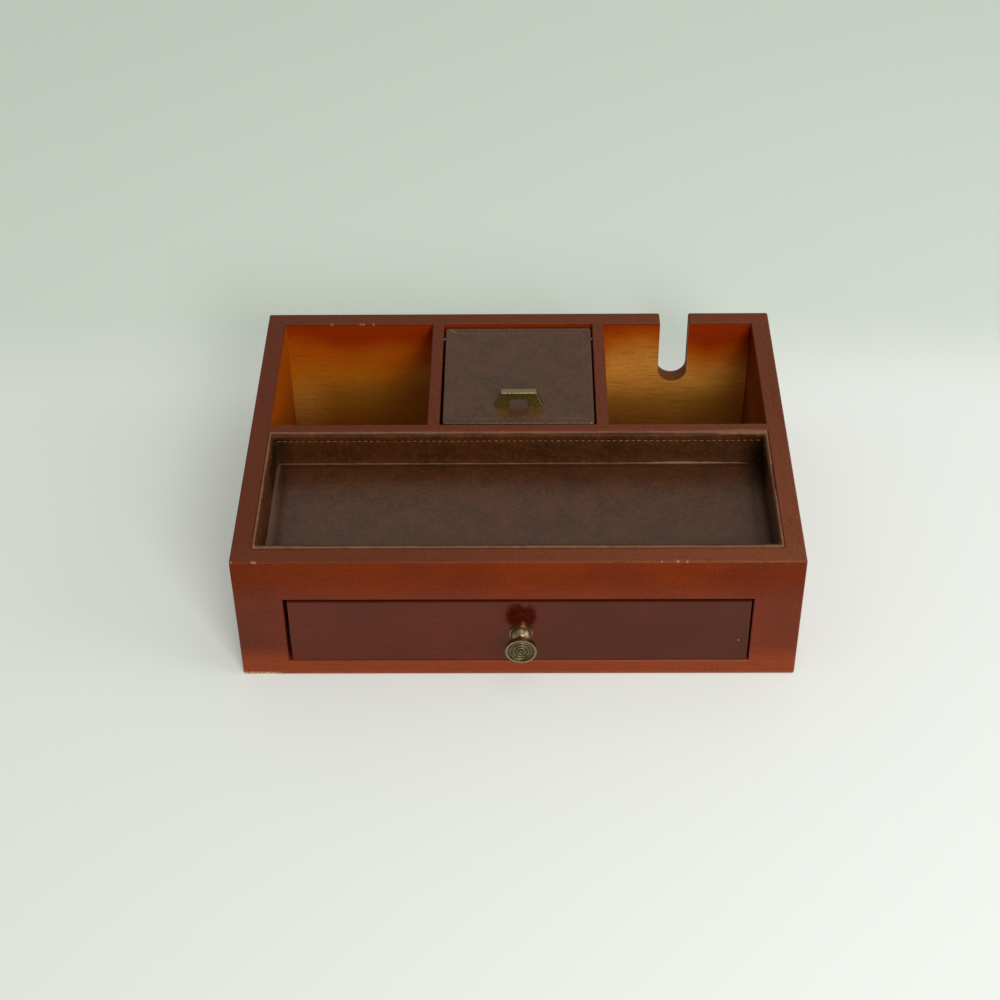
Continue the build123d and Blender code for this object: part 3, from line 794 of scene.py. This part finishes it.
# %% Tray wall leather
wall_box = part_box("tray_lining")
END_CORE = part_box("tray_left_wall")[1].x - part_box("tray_left_wall")[0].x
LONG_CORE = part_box("tray_front_wall")[1].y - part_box("tray_front_wall")[0].y
STITCH_DROP = 4.5 * MM
WALL_STEP = 1.5 * MM
WALL_SHEEN = 0.14
RIM_Z = wall_box[1].z
RIM_WANDER = 0.14 * MM
WALL_WANDER = 0.22 * MM
LIFT_PLACE = 126 * MM
LIFT_REACH = 14 * MM
LIFT_HEIGHT = 0.55 * MM
LIFT_BACK = 0.6 * MM
PRESSED_PLACE = -44 * MM
PRESSED_REACH = 11 * MM
PRESSED_DEPTH = 0.55 * MM
WORN_SPOTS = ((-140.4 * MM, -99.8 * MM), (140.8 * MM, -3.4 * MM), (140.8 * MM, -31.0 * MM))
# Each ring: its place across the stiff board from 0 to 1, and then in millimetres how much further
# in it lies and its height from the rim.
WALL_SECTION = (
    (0, 0, -0.8), (0, 0, -0.3), (0, 0.08, -0.12), (0, 0.25, -0.04), (0.32, 0, 0),
    (0.46, 0, -0.03), (0.72, 0, -0.2), (1, 0, -0.38), (1, 0.36, -0.55), (1, 0.58, -0.78),
    (1, 0.68, -1.1), (1, 0.76, -1.6), (1, 0.9, -2.8), (1, 0.84, -3.9), (1, 0.62, -4.5),
    (1, 0.84, -4.9), (1, 0.95, -5.6), (1, 0.98, -7.5), (1, 0.92, -10.5), (1, 0.85, -14),
    (1, 0.84, -17), (1, 1, -18.6), (1, 1.35, -19.5), (1, 1.35, -21.4), (1, 0.04, -21.4),
    (1, 0.04, -10), (1, 0.04, -0.84), (0, 0.04, -0.84))


def lifted(flat):
    """How far the rim has come up near the back right corner, from 0 to 1."""
    near_back = 1 if flat.y > wall_box[1].y - 4 * MM else 0
    return near_back * dip(flat.x - LIFT_PLACE, LIFT_REACH)


def wall_point(flat, core, drop):
    """One point of the wall's leather, wandering a little along its length."""
    along = Vector((flat.x + flat.y * 0.7, flat.y))
    near_rim = max(0.0, 1 + drop / (9 * MM))
    z = RIM_Z + drop + near_rim * RIM_WANDER * wave(along, 21 * MM, 5.0)
    at_right = flat.x > wall_box[1].x - 0.7 * MM
    if at_right and drop > -0.6 * MM:
        z -= PRESSED_DEPTH * dip(flat.y - PRESSED_PLACE, PRESSED_REACH)
    if drop > -1.0 * MM:
        z += LIFT_HEIGHT * lifted(flat)
        if core < 1:
            flat = flat + Vector((0, LIFT_BACK * lifted(flat)))
    return (flat.x, flat.y, z)


def wall_worn(x, y, z):
    """Where the wall's leather is pale: along the rim, most at a few places on it."""
    spots = sum(near(x, y, place, 1.5 * MM) for place in WORN_SPOTS)
    return z.step(RIM_Z - 0.30 * MM, RIM_Z - 0.08 * MM) * (0.9 + spots * 1.5)


def wall_shade(x, y, z):
    """Where shade is painted on the wall's leather: below the sewn line and in the far corners."""
    return z.step(RIM_Z - 1.0 * MM, RIM_Z - 3.0 * MM) * (0.16 + tray_corners(x, y) * 0.7)


def wall_leather(material):
    """Band of leather over the rim and down the inside of the walls."""
    low, high = wall_box[0].xy, wall_box[1].xy
    columns = round((high.x - low.x) / WALL_STEP)
    rows = round((high.y - low.y) / WALL_STEP)
    walk = border_walk(columns, rows)
    centre = (low + high) / 2
    points = []
    for core, reach, drop in WALL_SECTION:
        inset = Vector((core * END_CORE + reach * MM, core * LONG_CORE + reach * MM))
        ring_low, ring_high = low + inset, high - inset
        corner = 0.4 * MM + core * 1.4 * MM
        size = ring_high - ring_low
        for i, j in walk:
            flat = ring_low + Vector((size.x * i / columns, size.y * j / rows))
            flat = rounded(flat, ring_low, ring_high, corner)
            if core == 1 and -16 < drop < -1:
                ease = WALL_WANDER * wave(flat, 13 * MM, 9.0)
                flat = flat + Vector((math.copysign(ease, centre.x - flat.x),
                                      math.copysign(ease, centre.y - flat.y)))
            points.append(wall_point(flat, core, drop * MM))
    count = len(walk)
    starts = [s * count for s in range(len(WALL_SECTION))]
    faces = [(this + k, this + (k + 1) % count, after + (k + 1) % count, after + k)
             for this, after in zip(starts, starts[1:] + starts[:1]) for k in range(count)]
    return piece_from("tray_wall_leather", points, faces, material)


tray_walls = wall_leather(hide("wall_hide", WALL_SHEEN, wall_worn, wall_shade))
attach(tray_walls, "case")
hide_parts("tray_lining")
print("tray wall leather", len(tray_walls.data.polygons), "faces")

# %% [markdown]
# ## The lid's cover
#
# The lid is a board wrapped in leather. The edges are soft, a sewn line runs round the top with a
# shallow channel under it, and at the back left corner the leather is folded over itself: a pleat
# runs in to the sewn line. The cover bulges a little to the left, more at the back than in front.

# %% Lid cover
lid_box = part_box("lid_leather")
SEAM_INSET = 4.8 * MM
SEAM_DEPTH = 0.22 * MM
LID_TOP = lid_box[1].z
LID_GRID = 0.62 * MM
LID_WAVE = 0.12 * MM
LID_SHEEN = 0.84
BULGE_FRONT = 0.25
BULGE_MORE = 0.45
RIDGE_HEIGHT = 0.34 * MM
HOLLOW_DEPTH = 0.26 * MM
LID_THICK = 0.78 * MM
# Each ring: inset, height from the lid's top and corner round, in millimetres.
LID_SECTION = (
    (1, -0.09, 0.9), (0.6, -0.17, 1.2), (0.3, -0.34, 1.4), (0.1, -0.66, 1.5), (0.02, -1.1, 1.5),
    (0, -4.5, 1.5), (0.02, -7.4, 1.5), (0.15, -8, 1.4), (0.5, -8.35, 1.2), (1, -8.45, 1),
    (1.9, -8.48, 0.8), (1.9, -8.42, 0.8), (0.75, -8.42, 0.6), (0.75, -4.5, 0.6),
    (0.75, -0.78, 0.6))
FOLD = (Vector((lid_box[0].x + 0.4 * MM, lid_box[1].y - 1.2 * MM)),
        Vector((lid_box[0].x + 6.6 * MM, lid_box[1].y - 6.0 * MM)))


def pleat(flat):
    """Ridge of a folded corner at the back left of the lid, with the hollow beside it."""
    start, end = FOLD
    run = end - start
    along = (flat - start).dot(run) / run.length_squared
    side = (flat - start).cross(run) / run.length
    hold = max(0.0, min(1.0, 3 * along + 0.4)) * max(0.0, min(1.0, 3 * (1.15 - along)))
    ridge = RIDGE_HEIGHT * dip(side, 0.5 * MM)
    return hold * (ridge - HOLLOW_DEPTH * dip(side - 1.0 * MM, 0.6 * MM))


def lid_worn(x, y, z):
    """Where the lid's leather is pale: on the ridge of the fold."""
    return along_line(x, y, *FOLD, 0.55 * MM) * 0.8


def lid_shade(x, y, z):
    """Where shade is painted on the lid's leather: along its front edge."""
    return y.step(lid_box[0].y + 1.2 * MM, lid_box[0].y + 0.5 * MM) * 0.6


def seam_distance(flat):
    """Distance to the lid's sewn line."""
    edge = min(flat.x - lid_box[0].x, lid_box[1].x - flat.x, flat.y - lid_box[0].y,
               lid_box[1].y - flat.y)
    return edge - SEAM_INSET


def lid_height(flat):
    """Height of the lid's leather."""
    edge = seam_distance(flat)
    height = LID_TOP - 0.05 * MM - SEAM_DEPTH * dip(edge, 0.45 * MM)
    height += 0.08 * MM * dip(edge + 2.2 * MM, 1.6 * MM)
    return height + LID_WAVE * wave(flat, 17 * MM, 4.0) + pleat(flat)


lid_rings = [(2.0 * MM, 0, 0), (1.6 * MM, lambda flat: lid_height(flat) - 0.02 * MM, 0.3 * MM)]
lid_rings += [(inset * MM, LID_TOP + drop * MM, corner * MM)
              for inset, drop, corner in LID_SECTION]
lid_cover = soft_panel("lid_leather_cover", lid_box[0].xy, lid_box[1].xy, lid_rings, LID_GRID,
                       lid_height, LID_TOP - LID_THICK,
                       hide("lid_hide", LID_SHEEN, lid_worn, lid_shade))
for corner in lid_cover.data.vertices:
    to_back = (corner.co.y - lid_box[0].y) / (lid_box[1].y - lid_box[0].y)
    to_left = max(0.0, -corner.co.x / abs(lid_box[0].x))
    corner.co.x -= (BULGE_FRONT + BULGE_MORE * to_back) * MM * to_left ** 6
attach(lid_cover, "lid")
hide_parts("lid_leather")
print("lid cover", len(lid_cover.data.polygons), "faces")

# %% [markdown]
# ## Soft lining cloth
#
# The drawer and the lid's underside are lined with a thin brushed cloth, glued down flat.

# %% Lining cloth
NAP_DARK = (0.03, 0.014, 0.009)
NAP_PALE = (0.075, 0.038, 0.024)


def brushed_cloth():
    """Brown cloth with a short brushed nap."""
    finish = Finish("brushed_cloth", Sheen_Weight=0.4, Specular_IOR_Level=0.1)
    nap = finish.noise(0.5 * MM, (1, 2.5, 1), detail=4.0, roughness=0.7)
    drift = finish.noise(30 * MM, detail=2.0)
    tone = finish.mix(nap * 0.6 + drift * 0.4, NAP_DARK, NAP_PALE)
    return finish.feed(Base_Color=tone, Roughness=0.9 + nap * 0.1,
                       Normal=finish.bump(nap, 0.15 * MM, 0.6))


def lining(name, node, body, face_up, material):
    """Thin cloth glued flat where a node is, with soft edges and a slightly wavy nap."""
    low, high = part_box(node)
    face, back = (high.z, low.z) if face_up else (low.z, high.z)
    sink = 0.12 * MM if face_up else -0.12 * MM

    def nap_height(flat):
        return face - sink * (1 + wave(flat, 14 * MM, 6.0))

    rings = [(1.4 * MM, 0, 0), (0.7 * MM, face - sink, 0.4 * MM),
             (0.25 * MM, face - 2 * sink, 0.7 * MM), (0.02 * MM, (face + back) / 2, 0.8 * MM),
             (0.1 * MM, back + sink * 0.3, 0.8 * MM)]
    cloth_piece = soft_panel(name, low.xy, high.xy, rings, 3 * MM, nap_height,
                             back + sink * 0.2, material)
    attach(cloth_piece, body)
    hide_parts(node)
    print(name, [round(v / MM, 1) for v in high.xy - low.xy], "mm")


cloth = brushed_cloth()
lining("lid_lining_cloth", "lid_lining", "lid", False, cloth)
lining("drawer_lining_cloth", "drawer_lining", "drawer", True, cloth)

# %% [markdown]
# ## Stitches
#
# A sewn line is one short stitch repeated at an even pitch along a path, which is what Geometry
# Nodes are for. The path comes in as a chain of edges. The tree turns it into a curve, resamples it
# at the pitch, and lays a small bead at each point, stretched along the curve and turned slightly
# off it, as thread that is pulled tight through leather does.

# %% Stitch tree


def stitch_tree():
    """Node tree that lays stitches along the edges of its object."""
    tree = bpy.data.node_groups.new("stitch_line", "GeometryNodeTree")
    kinds = {"Geometry": "Geometry", "Pitch": "Float", "Stitch Length": "Float",
             "Thread": "Float", "Slant": "Float", "Seed": "Int", "Thread Material": "Material"}
    for name, kind in kinds.items():
        tree.interface.new_socket(name, in_out="INPUT", socket_type="NodeSocket" + kind)
    tree.interface.new_socket("Geometry", in_out="OUTPUT", socket_type="NodeSocketGeometry")

    def add(kind, settings=None, **inputs):
        """A node with its settings and sockets set; returns its first output, if any."""
        node = tree.nodes.new(kind)
        for name, value in (settings or {}).items():
            setattr(node, name, value)
        for name, value in inputs.items():
            socket = next(s for s in node.inputs
                          if name in (s.identifier, s.name.replace(" ", "_")) and s.enabled)
            if isinstance(value, bpy.types.NodeSocket):
                tree.links.new(value, socket)
            else:
                socket.default_value = value
        return next(iter(node.outputs), None)

    def scaled(socket, factor):
        return add("ShaderNodeMath", {"operation": "MULTIPLY"}, Value=socket, Value_001=factor)

    given = tree.nodes.new("NodeGroupInput").outputs
    curve = add("GeometryNodeMeshToCurve", Mesh=given["Geometry"])
    even = add("GeometryNodeResampleCurve", {"mode": "LENGTH"}, Curve=curve,
               Length=given["Pitch"])
    half_length = scaled(given["Stitch Length"], 0.5)
    half_thread = scaled(given["Thread"], 0.5)
    size = add("ShaderNodeCombineXYZ", X=half_length, Y=half_thread, Z=half_thread)
    bead = add("GeometryNodeMeshUVSphere", Segments=8, Rings=6, Radius=1.0)
    aim = add("FunctionNodeAlignRotationToVector", {"axis": "X"},
              Vector=add("GeometryNodeInputTangent"))
    least = scaled(given["Slant"], -1.0)
    turn = add("FunctionNodeRandomValue", {"data_type": "FLOAT_VECTOR"},
               Min=add("ShaderNodeCombineXYZ", X=0.0, Y=least, Z=least),
               Max=add("ShaderNodeCombineXYZ", X=0.0, Y=given["Slant"], Z=given["Slant"]),
               Seed=given["Seed"])
    turned = add("FunctionNodeRotateRotation", {"rotation_space": "LOCAL"}, Rotation=aim,
                 Rotate_By=add("FunctionNodeEulerToRotation", Euler=turn))
    laid = add("GeometryNodeInstanceOnPoints", Points=even, Instance=bead, Rotation=turned,
               Scale=size)
    real = add("GeometryNodeRealizeInstances", Geometry=laid)
    smooth = add("GeometryNodeSetShadeSmooth", Geometry=real)
    painted = add("GeometryNodeSetMaterial", Geometry=smooth, Material=given["Thread Material"])
    add("NodeGroupOutput", Geometry=painted)
    return tree


def sew(name, paths, body, values):
    """Plain mesh of stitches along paths of points; values are for the tree's sockets."""
    mesh = bpy.data.meshes.new(name + "_path")
    points, edges = [], []
    for path in paths:
        edges += [(k, k + 1) for k in range(len(points), len(points) + len(path) - 1)]
        points += path
    mesh.from_pydata(points, edges, [])
    line = add_object(name + "_path", mesh)
    modifier = line.modifiers.new("stitches", "NODES")
    modifier.node_group = STITCHES
    for item in STITCHES.interface.items_tree:
        if item.name in values:
            modifier[item.identifier] = values[item.name]
    evaluated = line.evaluated_get(bpy.context.evaluated_depsgraph_get())
    sewn_mesh = bpy.data.meshes.new_from_object(evaluated)
    bpy.data.objects.remove(line)
    sewn = add_object(name, sewn_mesh)
    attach(sewn, body)
    print(name, len(sewn_mesh.polygons), "faces")


STITCHES = stitch_tree()
print("stitch tree with", len(STITCHES.nodes), "nodes")

# %% [markdown]
# ## The sewn lines
#
# The tray's thread is lighter than its leather and shows as a dashed line under the rim. The lid's
# thread matches the leather and is sunk in its channel, so it hardly shows.

# %% Sew the tray and the lid
TRAY_THREAD_PALE = (0.36, 0.245, 0.17)
TRAY_THREAD_DARK = (0.17, 0.11, 0.072)
LID_THREAD_PALE = (0.25, 0.125, 0.072)
LID_THREAD_DARK = (0.13, 0.062, 0.034)
STITCH_REACH = 0.66 * MM
SEAM_MARGIN = 3.0 * MM


def thread(name, pale, dark):
    """Twisted thread, a little fuzzy."""
    finish = Finish(name, Specular_IOR_Level=0.2)
    twist = finish.noise(0.25 * MM, detail=2.0)
    tone = finish.mix(twist, dark, pale)
    return finish.feed(Base_Color=tone, Roughness=0.75 + twist * 0.15,
                       Normal=finish.bump(twist, 0.08 * MM, 0.5))


def places_along(start, end):
    """Places about a millimetre apart from start to end."""
    count = round((end - start).length / MM)
    return [start.lerp(end, k / count) for k in range(count + 1)]


def tray_seams():
    """Paths of the sewn line on the four walls, wandering as the leather does."""
    inset = Vector((END_CORE + STITCH_REACH, LONG_CORE + STITCH_REACH))
    low, high = wall_box[0].xy + inset, wall_box[1].xy - inset
    left, right = low.x + SEAM_MARGIN, high.x - SEAM_MARGIN
    front, back = low.y + SEAM_MARGIN, high.y - SEAM_MARGIN
    ends = (((left, high.y), (right, high.y)), ((left, low.y), (right, low.y)),
            ((low.x, front), (low.x, back)), ((high.x, front), (high.x, back)))
    return [[wall_point(flat, 1, -STITCH_DROP) for flat in places_along(Vector(start), Vector(end))]
            for start, end in ends]


def lid_seam():
    """Paths of the sewn line on the lid, each stopping short of the corners."""
    inset = Vector((SEAM_INSET, SEAM_INSET))
    low, high = lid_box[0].xy + inset, lid_box[1].xy - inset
    corners = [low, Vector((high.x, low.y)), high, Vector((low.x, high.y)), low]
    return [[(flat.x, flat.y, lid_height(flat) + 0.02 * MM)
             for flat in places_along(start, end)[2:-2]]
            for start, end in zip(corners, corners[1:])]


sew("tray_stitches", tray_seams(), "case",
    {"Pitch": 3.5 * MM, "Stitch Length": 2.6 * MM, "Thread": 0.4 * MM, "Slant": 0.16, "Seed": 3,
     "Thread Material": thread("pale_thread", TRAY_THREAD_PALE, TRAY_THREAD_DARK)})
sew("lid_stitches", lid_seam(), "lid",
    {"Pitch": 3.0 * MM, "Stitch Length": 2.2 * MM, "Thread": 0.4 * MM, "Slant": 0.10, "Seed": 8,
     "Thread Material": thread("brown_thread", LID_THREAD_PALE, LID_THREAD_DARK)})

# %% [markdown]
# ## Floor and light
#
# The box stands on a pale table in soft daylight, mostly from the front and the right. One large
# lamp makes the direction, one hangs above, one widens the light to the right, and the world fills
# the rest. The table also glows a little for camera rays: painted light that pales it to the right
# and darkens it behind, as it does in the photo.

# %% Floor
FLOOR_COLOUR = (0.9, 0.92, 0.88)
FLOOR_SHADE = (0.84, 0.86, 0.82)
GLOW_LEFT = (0.66, 0.7, 0.62)
GLOW_RIGHT = (0.98, 1.00, 0.94)
GLOW_BEHIND = (0.36, 0.49, 0.31)
GLOW_STRENGTH = 1.2
GLOW_SHARE = 0.22
FLOOR_REACH = 4.0
WORLD_COLOUR = (0.9, 0.94, 0.9, 1)
WORLD_STRENGTH = 0.42
LAMPS = (("window", (0.68, -1.96, 1.26), 0.8, 27), ("room", (0.35, -0.5, 2.2), 1.2, 5),
         ("side", (1.70, -0.45, 0.85), 1.1, 8))


def floor_finish():
    """Pale cloth that a camera ray sees a little brighter than it lights the box."""
    finish = Finish("table_cloth", Specular_IOR_Level=0.1, Roughness=0.9)
    x, y, z = finish.place()
    weave = finish.noise(0.8 * MM, detail=2.0)
    tone = finish.mix(weave * 0.12, FLOOR_COLOUR, FLOOR_SHADE)
    finish.feed(Base_Color=tone)
    # Painted light: the glow is brightest to the right, dimmer to the left and darker behind.
    light = finish.mix(x.step(-0.35, 0.30), GLOW_LEFT, GLOW_RIGHT)
    light = finish.mix(y.step(0.13, 0.24) * 0.85, light, GLOW_BEHIND)
    glow = finish.node("ShaderNodeEmission", {}, {"Color": light, "Strength": GLOW_STRENGTH})
    seen = finish.node("ShaderNodeLightPath", out="Is Camera Ray")
    surface = Wire(finish, finish.shader.outputs[0])
    both = finish.node("ShaderNodeMixShader", {}, {0: seen * GLOW_SHARE, 1: surface, 2: glow})
    finish.links.new(both.socket, finish.nodes["Material Output"].inputs["Surface"])
    return finish.material


def add_floor():
    """Wide pale table top under the box."""
    mesh = bpy.data.meshes.new("floor")
    corners = ((-1, -1), (1, -1), (1, 1), (-1, 1))
    mesh.from_pydata([(x * FLOOR_REACH, y * FLOOR_REACH, 0) for x, y in corners], [],
                     [(0, 1, 2, 3)])
    mesh.materials.append(floor_finish())
    add_object("floor", mesh)


def add_lamp(name, place, size, power):
    """Square soft lamp aimed at the middle of the box."""
    data = bpy.data.lights.new(name, "AREA")
    data.size, data.energy = size, power
    lamp = add_object(name, data)
    lamp.location = place
    target = (case_low + case_high) / 2
    lamp.rotation_mode = "QUATERNION"
    lamp.rotation_quaternion = (target - lamp.location).to_track_quat("-Z", "Y")


add_floor()
for lamp_values in LAMPS:
    add_lamp(*lamp_values)
world = bpy.data.worlds.new("world")
world.use_nodes = True
background = world.node_tree.nodes["Background"]
background.inputs["Color"].default_value = WORLD_COLOUR
background.inputs["Strength"].default_value = WORLD_STRENGTH
bpy.context.scene.world = world
print("floor, lamps and world ready")
